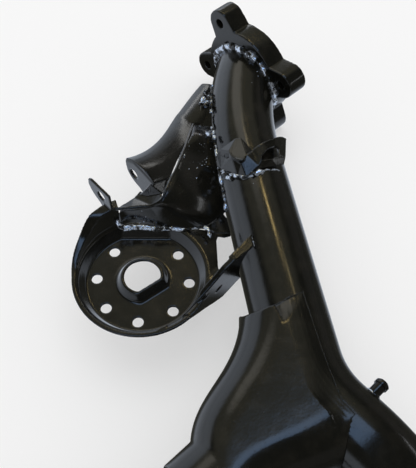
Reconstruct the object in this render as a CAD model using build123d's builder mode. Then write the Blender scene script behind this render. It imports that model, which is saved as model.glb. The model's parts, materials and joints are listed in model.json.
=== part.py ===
from build123d import *
import math
import os

os.makedirs("parts", exist_ok=True)

# Rear axle of a small car: two trailing arms of bent tube, joined by a pressed cross beam.
# Sizes are in millimetres. X points to the car's left, Y to the rear and Z up.
# The left arm is drawn in its own frame, with its origin on the middle of the spring pan's floor,
# x outboard, y rearward and z up. The right arm is its mirror image.

# Arm tube
TUBE_R = 36.5
TUBE_WALL = 4.0
AXIS_Z = 4.0
REAR_BEND = (211.6, 84.5)
REAR_BEND_R = 393.0
FRONT_BEND = (31.7, -188.5)
FRONT_BEND_R = 98.0
DIP_Y = -262.0
DIP_R = 120.0
REAR_RISE = 0.821

# Bush at the front of the arm
EYE_Y = -330.0
EYE_Z = -24.0
EYE_R = 40.0
EYE_WALL = 5.0
EYE_LENGTH = 78.0
SHELL_WALL = 2.0
SHELL_LENGTH = 74.0
RUBBER_LENGTH = 68.0
SLEEVE_R = 11.0
SLEEVE_BORE_R = 6.2
SLEEVE_LENGTH = 84.0
VOID_R = 22.5
VOID_WIDTH = 8.0
VOID_ARC = 96.0
CHAMFER = 0.8

# Stub axle plate, welded to the rear end of the arm
PLATE_X = 271.0
PLATE_Y = 138.2
PLATE_THICKNESS = 25.0
PLATE_R = 55.0
PLATE_BORE_R = 27.0
BOLT_SPAN = 104.0
BOLT_RISE = 78.0
BOLT_TILT = 15.5
BOLT_R = 5.25
LOBE_R = 16.5

# Car layout
PAN_X = 400.0
FRAME_Z = EYE_R - EYE_Z

# Spring pan
SHEET = 2.8
PAN_TURN = -43.0
FLOOR_R = 55.0
STEP_R = 61.0
STEP_Z = 12.0
LEDGE = 2.8
WALL_R = STEP_R + LEDGE
RIM_Z = 14.0
WALL_TOP = 42.0
LIP_REACH = 3.4
LIP_R = WALL_R + LIP_REACH
LIP_SHIFT = 8.0
CHORD = 49.0
CHORD_TOP = 56.4
SLOPE_HALF = 24.5
PAN_HOLES = 8
PAN_HOLE_R = 5.25
PAN_PCD = 90.0
PAN_HOLE_TURN = -3.0
PAN_HOLE_LEFT_OUT = 2
BOSS_R = 26.6
BOSS_TOP_R = 20.6
BOSS_Z = 9.5
BOSS_HOLE_R = 17.3
BOSS_FLAT = 11.8
BOSS_FLAT_TURN = -53.6
STRIP_Y = -55.6
STRIP_LIP = 6.0

# Damper fork: two ears with one bolt through them
BOLT_Y = 76.3
BOLT_Z = 48.0
DAMPER_BOLT_R = 5.5
EAR_X = 15.6
EAR_GAP = 38.0
BRACKET_SHEET = 3.5
EAR_LAP = 1.0

# Gusset between the pan, the tube and the damper bracket
GUSSET_SHEET = 3.0

# Shell at the end of the cross beam, and the beam
SHELL_SHEET = 4.0
BEAM_Y = -195.0
BEAM_SHEET = 4.0
BEAM_WIDTH = 80.0
BEAM_BOTTOM = -45.0
SLEEVE_X = -105.0
BEAM_OVERLAP = 27.0
BEAM_CROWN = 6.0
SLIP = 0.3

# Bracket and stud for the brake line and cable
CLIP_SHEET = 2.6
CLIP_HOLE_R = 3.0
STUD_R = 5.5
STUD_HEAD_R = 6.6
STUD_HEAD = 5.0
STUD_CHAMFER = 1.5
STUD_Y = -228.0
STUD_Z = 12.0
STUD_END_X = 82.0


def rotated(x, y, degrees):
    """A flat vector turned about the origin."""
    turn = math.radians(degrees)
    return x * math.cos(turn) - y * math.sin(turn), x * math.sin(turn) + y * math.cos(turn)


# The rear end of the tube's axis, and the bolts of the plate
REAR_END = (300.0, REAR_BEND[1] + (300.0 - REAR_BEND[0]) * REAR_RISE)
BOLT_PLACES = [
    rotated(sy * BOLT_SPAN / 2, sz * BOLT_RISE / 2, BOLT_TILT) for sy in (-1, 1) for sz in (-1, 1)
]

# The frame's origin lies under the middle of the whole axle
REAR_REACH = PLATE_Y + max(place[0] for place in BOLT_PLACES) + LOBE_R
FRONT_REACH = EYE_Y - EYE_R
FRAME_Y = -(REAR_REACH + FRONT_REACH) / 2
E_RIGHT = Vector(*rotated(1, 0, PAN_TURN), 0)
E_FAR = Vector(*rotated(0, 1, PAN_TURN), 0)


def at(x, y, z):
    """A point of the left arm's own frame, in the frame of the whole axle."""
    return Vector(PAN_X + x, FRAME_Y + y, FRAME_Z + z)


def level(z):
    """A level plane of the arm, seen from above."""
    return Plane(origin=at(0, 0, z), x_dir=(1, 0, 0), z_dir=(0, 0, 1))


def pan_level(z):
    """A level plane turned with the pan's hole pattern."""
    return Plane(origin=at(0, 0, z), x_dir=E_RIGHT, z_dir=(0, 0, 1))


def side(x):
    """An upright plane across the car's X axis: sketch x is rearward, sketch y is up."""
    return Plane(origin=at(x, 0, 0), x_dir=(0, 1, 0), z_dir=(1, 0, 0))


def front(y):
    """An upright plane seen from the front: sketch x is outboard, sketch y is up."""
    return Plane(origin=at(0, y, 0), x_dir=(1, 0, 0), z_dir=(0, -1, 0))


def flat_plate(points, thickness):
    """A plate whose top face passes through points of the arm's frame. The first three set its plane."""
    corners = [at(*point) for point in points]
    along = (corners[1] - corners[0]).normalized()
    normal = along.cross(corners[2] - corners[0]).normalized()
    if normal.Z < 0:
        normal = -normal
    plane = Plane(origin=corners[0], x_dir=along, z_dir=normal)
    outline = [plane.to_local_coords(corner) for corner in corners]
    with BuildPart() as plate:
        with BuildSketch(plane):
            with BuildLine():
                Polyline(*[(corner.X, corner.Y) for corner in outline], close=True)
            make_face()
        extrude(amount=-thickness)
    return plate.part


def lofted_sheet(stations, thickness):
    """A curved sheet. Each station is an arched strip from one edge of the sheet to the other."""
    with BuildPart() as sheet:
        for start, end, arch in stations:
            a, b = at(*start), at(*end)
            along = b - a
            normal = along.cross(Vector(0, 0, 1)).normalized()
            with BuildSketch(Plane(origin=a, x_dir=along.normalized(), z_dir=normal)):
                length = along.length
                with BuildLine():
                    ThreePointArc((0, 0), (length / 2, arch), (length, 0))
                    Line((length, 0), (length, -thickness))
                    ThreePointArc((length, -thickness), (length / 2, arch - thickness), (0, -thickness))
                    Line((0, -thickness), (0, 0))
                make_face()
        loft()
    return sheet.part


def save_pair(left, name):
    """Write a left sub-part and its mirror image on the right arm. Slivers left by a cut are dropped."""
    left = Part(left.solids().sort_by(SortBy.VOLUME)[-1].wrapped)
    left.label = "left_" + name
    export_step(left, "parts/left_" + name + ".step")
    right = mirror(left, about=Plane.YZ)
    right.label = "right_" + name
    export_step(right, "parts/right_" + name + ".step")


# Trailing arm: one bent tube, from the stub axle plate down to the bush
with BuildPart() as tube_core:
    with BuildLine() as tube_axis:
        FilletPolyline(
            at(REAR_END[0], REAR_END[1], AXIS_Z),
            at(REAR_BEND[0], REAR_BEND[1], AXIS_Z),
            at(FRONT_BEND[0], FRONT_BEND[1], AXIS_Z),
            at(FRONT_BEND[0], DIP_Y, AXIS_Z),
            at(FRONT_BEND[0], EYE_Y, EYE_Z),
            radius=[REAR_BEND_R, FRONT_BEND_R, DIP_R],
        )
    with BuildSketch(Plane(tube_axis.line @ 0, z_dir=tube_axis.line % 0)):
        Circle(TUBE_R)
    sweep(path=tube_axis.line)

with BuildPart() as eye_blank:
    with BuildSketch(side(FRONT_BEND[0] - EYE_LENGTH / 2)):
        with Locations((EYE_Y, EYE_Z)):
            Circle(EYE_R)
    extrude(amount=EYE_LENGTH)

with BuildPart() as trailing_arm:
    with BuildSketch(Plane(tube_axis.line @ 0, z_dir=tube_axis.line % 0)):
        Circle(TUBE_R)
        Circle(TUBE_R - TUBE_WALL, mode=Mode.SUBTRACT)
    sweep(path=tube_axis.line)
    split(bisect_by=side(PLATE_X), keep=Keep.BOTTOM)
    add(eye_blank.part, mode=Mode.SUBTRACT)

# Bush eye: a ring across the front end of the tube
with BuildPart() as bush_eye:
    add(eye_blank.part)
    with BuildSketch(side(FRONT_BEND[0] - EYE_LENGTH / 2)):
        with Locations((EYE_Y, EYE_Z)):
            Circle(EYE_R - EYE_WALL)
    extrude(amount=EYE_LENGTH, mode=Mode.SUBTRACT)
    chamfer(bush_eye.edges().filter_by(GeomType.CIRCLE), CHAMFER)


def bush_ring(outer, inner, length):
    """A round sleeve on the bush's axis."""
    with BuildPart() as ring:
        with BuildSketch(side(FRONT_BEND[0] - length / 2)):
            with Locations((EYE_Y, EYE_Z)):
                Circle(outer)
                Circle(inner, mode=Mode.SUBTRACT)
        extrude(amount=length)
    return ring.part


# Pressed steel shell, rubber with two kidney voids, and steel sleeve
CAN_R = EYE_R - EYE_WALL
RUBBER_R = CAN_R - SHELL_WALL
with BuildPart() as bush_shell:
    add(bush_ring(CAN_R, RUBBER_R, SHELL_LENGTH))

with BuildPart() as bush_rubber:
    add(bush_ring(RUBBER_R, SLEEVE_R, RUBBER_LENGTH))
    with BuildSketch(side(FRONT_BEND[0] - RUBBER_LENGTH / 2)):
        with Locations((EYE_Y, EYE_Z)):
            for middle in (0, 180):
                SlotArc(CenterArc((0, 0), VOID_R, middle - VOID_ARC / 2, VOID_ARC), VOID_WIDTH)
    extrude(amount=RUBBER_LENGTH, mode=Mode.SUBTRACT)

with BuildPart() as bush_sleeve:
    add(bush_ring(SLEEVE_R, SLEEVE_BORE_R, SLEEVE_LENGTH))
    chamfer(bush_sleeve.edges().filter_by(GeomType.CIRCLE), CHAMFER)

# Stub axle plate: a hub disc with four bolt lobes
with BuildPart() as stub_axle_plate:
    with BuildSketch(side(PLATE_X)):
        with Locations((PLATE_Y, AXIS_Z)):
            Circle(PLATE_R)
    extrude(amount=PLATE_THICKNESS)
    for reach, rise in BOLT_PLACES:
        with BuildSketch(side(PLATE_X)):
            with Locations((PLATE_Y + reach, AXIS_Z + rise)):
                Circle(LOBE_R)
            with Locations((PLATE_Y + reach / 3, AXIS_Z + rise / 3)):
                Circle(LOBE_R * 1.5)
            make_hull()
        extrude(amount=PLATE_THICKNESS)
    with BuildSketch(side(PLATE_X)):
        with Locations((PLATE_Y, AXIS_Z)):
            Circle(PLATE_BORE_R)
        with Locations(*[(PLATE_Y + reach, AXIS_Z + rise) for reach, rise in BOLT_PLACES]):
            Circle(BOLT_R)
    extrude(amount=PLATE_THICKNESS, mode=Mode.SUBTRACT)

# Spring pan: the pressed bowl
with BuildPart() as pan_cavity:
    with BuildSketch(Plane(origin=at(0, 0, 0), x_dir=E_RIGHT, z_dir=-E_FAR)):
        with BuildLine():
            Polyline((0, 0), (FLOOR_R, 0), (STEP_R, STEP_Z), (STEP_R, WALL_TOP), (0, WALL_TOP), close=True)
        make_face()
    revolve(axis=Axis(at(0, 0, 0), (0, 0, 1)))
    # The far side of the bowl is a straight slope
    with BuildSketch(Plane(origin=at(0, 0, 0), x_dir=E_FAR, z_dir=E_RIGHT)):
        with BuildLine():
            Polyline(
                (CHORD, 0), (CHORD_TOP, STEP_Z), (CHORD_TOP, WALL_TOP), (90, WALL_TOP), (90, 0), close=True
            )
        make_face()
    extrude(amount=FLOOR_R, both=True, mode=Mode.SUBTRACT)


def rim_face(drop, ceiling):
    """The face above the rim line, or under it down to a drop, as seen along the pan's chord."""
    with BuildSketch(Plane(origin=at(0, 0, 0), x_dir=E_FAR, z_dir=E_RIGHT)) as face:
        with BuildLine():
            rise = [(0, RIM_Z), (18, RIM_Z + 4), (37, RIM_Z + 12), (50, RIM_Z + 23), (62, RIM_Z + 25)]
            Line((-90, RIM_Z), rise[0])
            Spline(*rise, tangents=[(1, 0), (1, 0)])
            Line(rise[-1], (90, rise[-1][1]))
            if ceiling:
                Line((90, rise[-1][1]), (90, ceiling))
                Line((90, ceiling), (-90, ceiling))
                Line((-90, ceiling), (-90, RIM_Z))
            else:
                Line((90, rise[-1][1]), (90, rise[-1][1] - drop))
                Line((90, rise[-1][1] - drop), (rise[-1][0], rise[-1][1] - drop))
                Spline(*[(far, z - drop) for far, z in reversed(rise)], tangents=[(-1, 0), (-1, 0)])
                Line((0, RIM_Z - drop), (-90, RIM_Z - drop))
                Line((-90, RIM_Z - drop), (-90, RIM_Z))
        make_face()
    return face.sketch


# The web side of the pan has no upright wall
WEB_SIDE = [(-23.3, 56.3), (-31, 80), (120, 80), (120, -60), (58, -58), (35, -38), (0, 0)]


def web_side_cut():
    """The region over the web, in the pan's own directions."""
    with BuildSketch(pan_level(STEP_Z)) as region:
        with BuildLine():
            Polyline(*WEB_SIDE, close=True)
        make_face()
    return region.sketch


with BuildPart() as pan_lip:
    extrude(rim_face(SHEET, 0), amount=90, both=True)
    with BuildSketch(pan_level(0)):
        Circle(LIP_R)
        with Locations((-1, LIP_SHIFT)):
            Circle(LIP_R)
        Circle(WALL_R, mode=Mode.SUBTRACT)
    extrude(amount=WALL_TOP, mode=Mode.INTERSECT)
    extrude(web_side_cut(), amount=WALL_TOP, both=True, mode=Mode.SUBTRACT)


def boss_outline(plane, radius, flat):
    """A round outline with one flat side, like the centre hole of the pan."""
    with BuildSketch(plane) as outline:
        Circle(radius)
        with Locations(Rotation(0, 0, BOSS_FLAT_TURN)):
            with Locations((flat + radius, 0)):
                Rectangle(2 * radius, 4 * radius, mode=Mode.SUBTRACT)
    return outline.sketch


FLAT_RUN = BOSS_R - BOSS_TOP_R
BOSS_RIM = BOSS_TOP_R - BOSS_HOLE_R
with BuildPart() as boss_skin:
    loft([
        boss_outline(pan_level(-SHEET), BOSS_R, BOSS_FLAT + BOSS_RIM + FLAT_RUN),
        boss_outline(pan_level(BOSS_Z), BOSS_TOP_R, BOSS_FLAT + BOSS_RIM),
    ])

with BuildPart() as boss_hollow:
    loft([
        boss_outline(pan_level(-SHEET), BOSS_R - SHEET, BOSS_FLAT + BOSS_RIM + FLAT_RUN - SHEET),
        boss_outline(pan_level(BOSS_Z - SHEET), BOSS_TOP_R - SHEET * 0.7, BOSS_FLAT + BOSS_RIM * 0.4),
    ])

STRIP_TOP = [(-30, RIM_Z), (-3, 15), (22, 21), (41, 30), (52, 36), (64, 39)]
STRIP_BOTTOM = [
    (75, -10.3), (67, -13), (59.5, -16), (52, -19), (41, -17.4), (28.4, -14), (17.5, -12.4),
    (6, -10), (-6, -6), (-24, 5.4), (-34, 12),
]
STRIP_SLOTS = [((46, 3.4), 8.0, 2.6, 30), ((29, 7.6), 5.5, 1.8, 28), ((5.7, -4.5), 4.5, 1.6, 15)]

with BuildPart() as spring_pan:
    with BuildSketch(Plane(origin=at(0, 0, 0), x_dir=E_RIGHT, z_dir=-E_FAR)):
        with BuildLine():
            FilletPolyline(
                (0, 0), (FLOOR_R, 0), (STEP_R, STEP_Z), (WALL_R, RIM_Z), (WALL_R, WALL_TOP),
                (WALL_R + SHEET, WALL_TOP), (WALL_R + SHEET, STEP_Z), (STEP_R + 2.4, STEP_Z - 2.6),
                (FLOOR_R + 1.8, -SHEET), (0, -SHEET),
                radius=[0, 4, 4, 2, 0, 0, 4, 2, 6, 0],
                close=True,
            )
        make_face()
    revolve(axis=Axis(at(0, 0, 0), (0, 0, 1)))
    extrude(rim_face(0, 90), amount=90, both=True, mode=Mode.SUBTRACT)
    extrude(web_side_cut(), amount=WALL_TOP, mode=Mode.SUBTRACT)
    add(pan_lip.part)
    # Flat web between the bowl and the gusset's weld
    with BuildSketch(level(STEP_Z - SHEET)):
        with BuildLine():
            Polyline(
                (21.4, 57.1), (82.4, 0.2), (125, 0), (101, -19.5), (93, -17.5), (88, -13), (82.5, -16.5),
                (59.5, -43.3), (56, -57), (20, -57), (0, 0),
                close=True,
            )
        make_face()
    extrude(amount=SHEET)
    # The strip that runs on from the near wall to the tube, with a folded top lip
    with BuildSketch(front(STRIP_Y)):
        with BuildLine():
            Polyline(*STRIP_TOP, (78, 36), (100, 20), (100, -12), *STRIP_BOTTOM, close=True)
        make_face()
    extrude(amount=SHEET)
    with BuildSketch(front(STRIP_Y)):
        with BuildLine():
            Polyline(
                *STRIP_TOP[1:], *[(x, z - SHEET) for x, z in reversed(STRIP_TOP[1:])], close=True
            )
        make_face()
    extrude(amount=STRIP_LIP)
    add(pan_cavity.part, mode=Mode.SUBTRACT)
    # The straight slope on the far side
    with BuildSketch(Plane(origin=at(0, 0, 0) - E_RIGHT * SLOPE_HALF, x_dir=E_FAR, z_dir=E_RIGHT)):
        with BuildLine():
            Polyline(
                (CHORD, 0), (CHORD_TOP, STEP_Z), (CHORD_TOP + 3.3, STEP_Z), (CHORD + 1.8, -SHEET),
                (CHORD - 1, -SHEET), (CHORD - 1, 0), close=True,
            )
        make_face()
    extrude(amount=2 * SLOPE_HALF)
    # The raised boss with its D-shaped hole
    add(boss_skin.part)
    add(boss_hollow.part, mode=Mode.SUBTRACT)
    extrude(boss_outline(pan_level(-SHEET), BOSS_HOLE_R, BOSS_FLAT), amount=WALL_TOP, mode=Mode.SUBTRACT)
    with BuildSketch(pan_level(-SHEET)):
        for k in range(PAN_HOLES):
            if k != PAN_HOLE_LEFT_OUT:
                with PolarLocations(PAN_PCD / 2, 1, PAN_HOLE_TURN + k * 360 / PAN_HOLES):
                    Circle(PAN_HOLE_R)
    extrude(amount=SHEET, mode=Mode.SUBTRACT)
    # Inner ear of the damper fork, folded up from the end of the wall
    with BuildSketch(side(EAR_X)):
        with BuildLine():
            Polyline(
                (62.5, 59), (91, 60.5), (95.5, 57.5), (96, 50), (93, 43.4), (88, 38.5), (82, 34.6), (74, 27),
                (68, 14), (61, 14), close=True,
            )
        make_face()
        with Locations((BOLT_Y, BOLT_Z)):
            Circle(DAMPER_BOLT_R, mode=Mode.SUBTRACT)
    extrude(amount=SHEET)
    # End tab of the strip, folded onto the tube
    add(flat_plate([(62, -54, 39), (97, -49, 37), (89, -61, 37), (62, -61.6, 39)], SHEET))
    for centre, length, height, tilt in STRIP_SLOTS:
        with BuildSketch(front(STRIP_Y)):
            with Locations(Location((centre[0], centre[1], 0), (0, 0, tilt))):
                SlotOverall(length, height)
        extrude(amount=SHEET, mode=Mode.SUBTRACT)
    add(tube_core.part, mode=Mode.SUBTRACT)

# Gusset: a roof-shaped sheet from the pan's weld line up to a flanged ridge
with BuildPart() as pan_gusset:
    add(lofted_sheet(
        [
            ((21.4, 57.1, 12), (20, 62.9, 38), 2),
            ((48, 32.3, 12), (43, 41.5, 41), 4),
            ((82.4, 0.2, 12), (68.7, 41.2, 51), 7),
            ((112, 2, 8), (91.6, 54.9, 48), 5),
            ((148, 40, 8), (124.5, 76.3, 38), 3),
            ((186, 88, 8), (160.9, 103.7, 26), 1),
        ],
        GUSSET_SHEET,
    ))
    add(tube_core.part, mode=Mode.SUBTRACT)
    add(spring_pan.part, mode=Mode.SUBTRACT)

# Outer ear of the damper fork and the sheet that runs from it to the tube
OUTER_EAR_X = EAR_X + SHEET + EAR_GAP
BRACKET_STATIONS = [
    ((OUTER_EAR_X + EAR_LAP, 45, 61.5), (OUTER_EAR_X + EAR_LAP, 88.2, 61.5), 8),
    ((91.6, 51, 45.5), (91.7, 91.5, 49), 6),
    ((123.2, 72.4, 36), (132.5, 113.6, 30), 3.5),
    ((158.8, 98, 24), (160, 129.5, 21), 3),
    ((203, 113, 13), (179.6, 138.8, 16), 5),
    ((221, 129.5, 10.5), (203, 149, 12), 3.5),
    ((233, 142, 8), (221.5, 155.4, 10), 1.5),
]
with BuildPart() as damper_bracket:
    with BuildSketch(side(OUTER_EAR_X)):
        with BuildLine():
            Polyline(
                (46, 60), (58.6, 64), (73.8, 66.5), (86, 61), (88.2, 58), (88, 53), (86.5, 45), (82.3, 39.4),
                (76.2, 35.3), (68.5, 32.7), (62, 27), (50, 27), (45, 34), close=True,
            )
        make_face()
        with Locations((BOLT_Y, BOLT_Z)):
            Circle(DAMPER_BOLT_R, mode=Mode.SUBTRACT)
    extrude(amount=BRACKET_SHEET)
    add(lofted_sheet(BRACKET_STATIONS[:4], BRACKET_SHEET))
    add(lofted_sheet(BRACKET_STATIONS[3:], BRACKET_SHEET))
    add(tube_core.part, mode=Mode.SUBTRACT)
    add(pan_gusset.part, mode=Mode.SUBTRACT)

# Clip bracket for the brake line, folded from one sheet and welded over the tube
CLIP_AT = (162.0, 10.0)
CLIP_TURN = -33.4


def clip_point(along, across, z):
    """A point beside the clip bracket: along the tube to the rear, across it outboard, and up."""
    x, y = rotated(across, along, CLIP_TURN)
    return CLIP_AT[0] + x, CLIP_AT[1] + y, z


CLIP_PLATES = [
    [(27, -33, 33), (30, -12, 46), (-3, -15, 46), (8, -25, 38)],
    [(30, -12, 46), (1, -8, 46), (-3, -15, 46)],
    [(5, -4, 45), (29, 36.5, 38), (-5, 28, 36.5), (-4, 6, 43)],
    [(8, -25, 38), (-3, -15, 46), (-18, -16.4, 36.7), (-7, -27.5, 28)],
    [(-3, -15, 46), (1, -5, 45), (-4, 6, 43), (-16.4, 3.2, 40.4), (-18, -16.4, 36.7)],
    [(-4, 6, 43), (-5, 28, 36.5), (-5, 21, 34), (-16.4, 3.2, 40.4)],
    [(27, -33, 33), (8, -25, 38), (-7, -27.5, 28), (11, -34.5, 18)],
]
CLIP_WINDOW = [(4, 9), (6.5, 26.4), (16.3, 26.6), (19.2, 17.6)]
with BuildPart() as line_bracket:
    for corners in CLIP_PLATES:
        add(flat_plate([clip_point(*corner) for corner in corners], CLIP_SHEET))
    with BuildSketch(level(0)):
        with Locations(clip_point(16.7, -26.4, 0)[:2]):
            Circle(CLIP_HOLE_R)
        with BuildLine():
            Polyline(*[clip_point(along, across, 0)[:2] for along, across in CLIP_WINDOW], close=True)
        make_face()
    extrude(amount=WALL_TOP + STEP_Z, mode=Mode.SUBTRACT)
    add(tube_core.part, mode=Mode.SUBTRACT)

# Stud for the handbrake cable on the outer flank of the tube
with BuildPart() as cable_stud:
    with BuildSketch(side(FRONT_BEND[0])):
        with Locations((STUD_Y, STUD_Z)):
            Circle(STUD_R)
    extrude(amount=STUD_END_X - FRONT_BEND[0])
    with BuildSketch(side(STUD_END_X - STUD_HEAD)):
        with Locations((STUD_Y, STUD_Z)):
            Circle(STUD_HEAD_R)
    extrude(amount=STUD_HEAD)
    add(tube_core.part, mode=Mode.SUBTRACT)
    chamfer(cable_stud.faces().sort_by(Axis.X)[-1].edges(), STUD_CHAMFER)


def hood(sections, sheet):
    """An upturned trough through sections of (x, front edge, rear edge, corner run, bottom), less its sheet."""
    with BuildPart() as trough:
        for x, front_y, rear_y, run, bottom in sections:
            top = AXIS_Z + TUBE_R + SHELL_SHEET - sheet
            run = run - sheet
            corner = top - AXIS_Z
            with BuildSketch(side(x)):
                with BuildLine():
                    Line((front_y + sheet, bottom), (front_y + sheet, AXIS_Z))
                    EllipticalCenterArc((front_y + sheet + run, AXIS_Z), run, corner, start_angle=90, arc_size=90)
                    Line((front_y + sheet + run, top), (rear_y - sheet - run, top))
                    EllipticalCenterArc((rear_y - sheet - run, AXIS_Z), run, corner, start_angle=0, arc_size=90)
                    Line((rear_y - sheet, AXIS_Z), (rear_y - sheet, bottom))
                    Line((rear_y - sheet, bottom), (front_y + sheet, bottom))
                make_face()
        loft()
    return trough.part


HALF = BEAM_WIDTH / 2 + SHELL_SHEET
HOOD_SECTIONS = [
    (SLEEVE_X, BEAM_Y - HALF, BEAM_Y + HALF, HALF - 2, -40),
    (-75, BEAM_Y - HALF, BEAM_Y + HALF, HALF - 2, -40),
    (-17, -248, -125, 42, -33),
    (23, -262, -107, 48, -25),
    (60, -262, -71, 58, -25),
    (100, -262, -20, 64, -25),
]
# Seam of the shell on the tube: everything outboard of it is left open
SEAM = [(31.7, -300), (31.7, -218), (84.5, -128.6), (100, -104), (130, -10), (170, -10), (170, -300)]
# Slanted rear edge of the shell, through the crest of the tube and the lower corner
REAR_EDGE = [(84.5, -128.6, 44), (52.9, -115.9, 38), (50.8, -83, -25)]
REAR_CORNERS = [at(*point) for point in REAR_EDGE]
REAR_NORMAL = (REAR_CORNERS[1] - REAR_CORNERS[0]).cross(REAR_CORNERS[2] - REAR_CORNERS[0]).normalized()
if REAR_NORMAL.Y < 0:
    REAR_NORMAL = -REAR_NORMAL
with BuildPart() as beam_end:
    add(hood(HOOD_SECTIONS[:2], 0))
    add(hood(HOOD_SECTIONS[1:], 0))
    add(hood(HOOD_SECTIONS[:2], SHELL_SHEET), mode=Mode.SUBTRACT)
    add(hood(HOOD_SECTIONS[1:], SHELL_SHEET), mode=Mode.SUBTRACT)
    with BuildSketch(level(-60)):
        with BuildLine():
            Polyline(*SEAM, close=True)
        make_face()
    extrude(amount=120, mode=Mode.SUBTRACT)
    split(bisect_by=Plane(origin=REAR_CORNERS[0], z_dir=REAR_NORMAL), keep=Keep.BOTTOM)
    add(tube_core.part, mode=Mode.SUBTRACT)

# Cross beam: an upturned trough between the two shells
BEAM_END_X = PAN_X + SLEEVE_X + BEAM_OVERLAP
BEAM_HALF = BEAM_WIDTH / 2 - SLIP
BEAM_TOP = FRAME_Z + AXIS_Z + TUBE_R - SLIP
with BuildPart() as cross_beam:
    with BuildSketch(Plane(origin=(-BEAM_END_X, 0, 0), x_dir=(0, 1, 0), z_dir=(1, 0, 0))):
        with BuildLine():
            FilletPolyline(
                (FRAME_Y + BEAM_Y - BEAM_HALF, FRAME_Z + BEAM_BOTTOM),
                (FRAME_Y + BEAM_Y - BEAM_HALF, BEAM_TOP),
                (FRAME_Y + BEAM_Y + BEAM_HALF, BEAM_TOP),
                (FRAME_Y + BEAM_Y + BEAM_HALF, FRAME_Z + BEAM_BOTTOM),
                radius=BEAM_HALF - BEAM_CROWN / 2,
            )
            offset(amount=-BEAM_SHEET, side=Side.RIGHT)
        make_face()
    extrude(amount=2 * BEAM_END_X)

save_pair(trailing_arm.part, "trailing_arm")
save_pair(bush_eye.part, "bush_eye")
save_pair(bush_shell.part, "bush_shell")
save_pair(bush_rubber.part, "bush_rubber")
save_pair(bush_sleeve.part, "bush_sleeve")
save_pair(stub_axle_plate.part, "stub_axle_plate")
save_pair(spring_pan.part, "spring_pan")
save_pair(damper_bracket.part, "damper_bracket")
save_pair(pan_gusset.part, "pan_gusset")
save_pair(line_bracket.part, "line_bracket")
save_pair(cable_stud.part, "cable_stud")
save_pair(beam_end.part, "beam_end")
cross_beam.part.label = "cross_beam"
export_step(cross_beam.part, "parts/cross_beam.step")
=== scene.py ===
"""Rear axle of a small car: two trailing arms with spring pans, damper forks and bushes, and a cross beam."""

import json
import math
import random

import bmesh
import bpy
from mathutils import Matrix, Vector, noise
from mathutils.bvhtree import BVHTree

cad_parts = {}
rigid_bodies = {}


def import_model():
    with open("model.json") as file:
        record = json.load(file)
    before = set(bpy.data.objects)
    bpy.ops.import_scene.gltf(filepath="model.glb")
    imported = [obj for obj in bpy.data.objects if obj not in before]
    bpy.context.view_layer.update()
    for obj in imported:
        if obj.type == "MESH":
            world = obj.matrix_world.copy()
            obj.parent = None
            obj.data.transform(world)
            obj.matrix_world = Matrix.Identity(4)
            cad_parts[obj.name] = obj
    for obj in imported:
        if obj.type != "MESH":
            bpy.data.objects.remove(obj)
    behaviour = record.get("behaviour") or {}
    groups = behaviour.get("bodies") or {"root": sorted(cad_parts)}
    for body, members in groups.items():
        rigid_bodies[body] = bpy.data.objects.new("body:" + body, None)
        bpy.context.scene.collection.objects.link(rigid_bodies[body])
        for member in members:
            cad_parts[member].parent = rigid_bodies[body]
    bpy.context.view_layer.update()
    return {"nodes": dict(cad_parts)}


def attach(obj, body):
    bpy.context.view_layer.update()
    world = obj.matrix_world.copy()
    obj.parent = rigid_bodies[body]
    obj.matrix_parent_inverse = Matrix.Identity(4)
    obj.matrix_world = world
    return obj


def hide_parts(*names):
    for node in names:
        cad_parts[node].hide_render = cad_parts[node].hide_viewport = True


bl_info = {
    "name": "Rear axle",
    "version": (1, 0, 0),
    "blender": (4, 5, 0),
    "location": "View3D > Sidebar > Rear axle",
    "description": "Dresses the solids of a twist beam rear axle with painted sheet, weld beads and rubber",
    "category": "Add Mesh",
}

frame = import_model()
NODES = frame["nodes"]
SIDES = (("left", 1), ("right", -1))
MM = 0.001

# Places of the left arm in the whole axle, as the solids have them
PAN_X = 400.0
FRAME_Y = 77.384
FRAME_Z = 64.0


def arm(x, y, z):
    """A point of the left arm's own frame, in millimetres, as a place in the whole axle."""
    return Vector((PAN_X + x, FRAME_Y + y, FRAME_Z + z)) * MM


# Object helpers
def nothing_selected():
    """Leave edit mode and deselect every object."""
    if bpy.context.object and bpy.context.object.mode != "OBJECT":
        bpy.ops.object.mode_set(mode="OBJECT")
    bpy.ops.object.select_all(action="DESELECT")


def take(piece):
    """Make a piece the only selected one and the active one."""
    nothing_selected()
    piece.select_set(True)
    bpy.context.view_layer.objects.active = piece
    return piece


def finish_piece(piece, material, slot, *nodes):
    """Give a piece its material, let it ride on the axle, and let it stand for its nodes."""
    piece.data.materials.clear()
    piece.data.materials.append(material)
    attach(piece, "root")
    if nodes:
        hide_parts(*nodes)
    return piece


def merged_copy(node, name):
    """A copy of a solid's mesh with its loose triangles joined."""
    mesh = NODES[node].data.copy()
    mesh.name = name
    piece = bpy.data.objects.new(name, mesh)
    bpy.context.scene.collection.objects.link(piece)
    take(piece)
    bpy.ops.object.mode_set(mode="EDIT")
    bpy.ops.mesh.select_all(action="SELECT")
    bpy.ops.mesh.remove_doubles(threshold=2e-6)
    bpy.ops.object.mode_set(mode="OBJECT")
    return piece


# Edges sharper than this are rounded, and facets that turn by less than this are joined, in degrees
SHARP, FLAT = 35, 0.3


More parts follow.
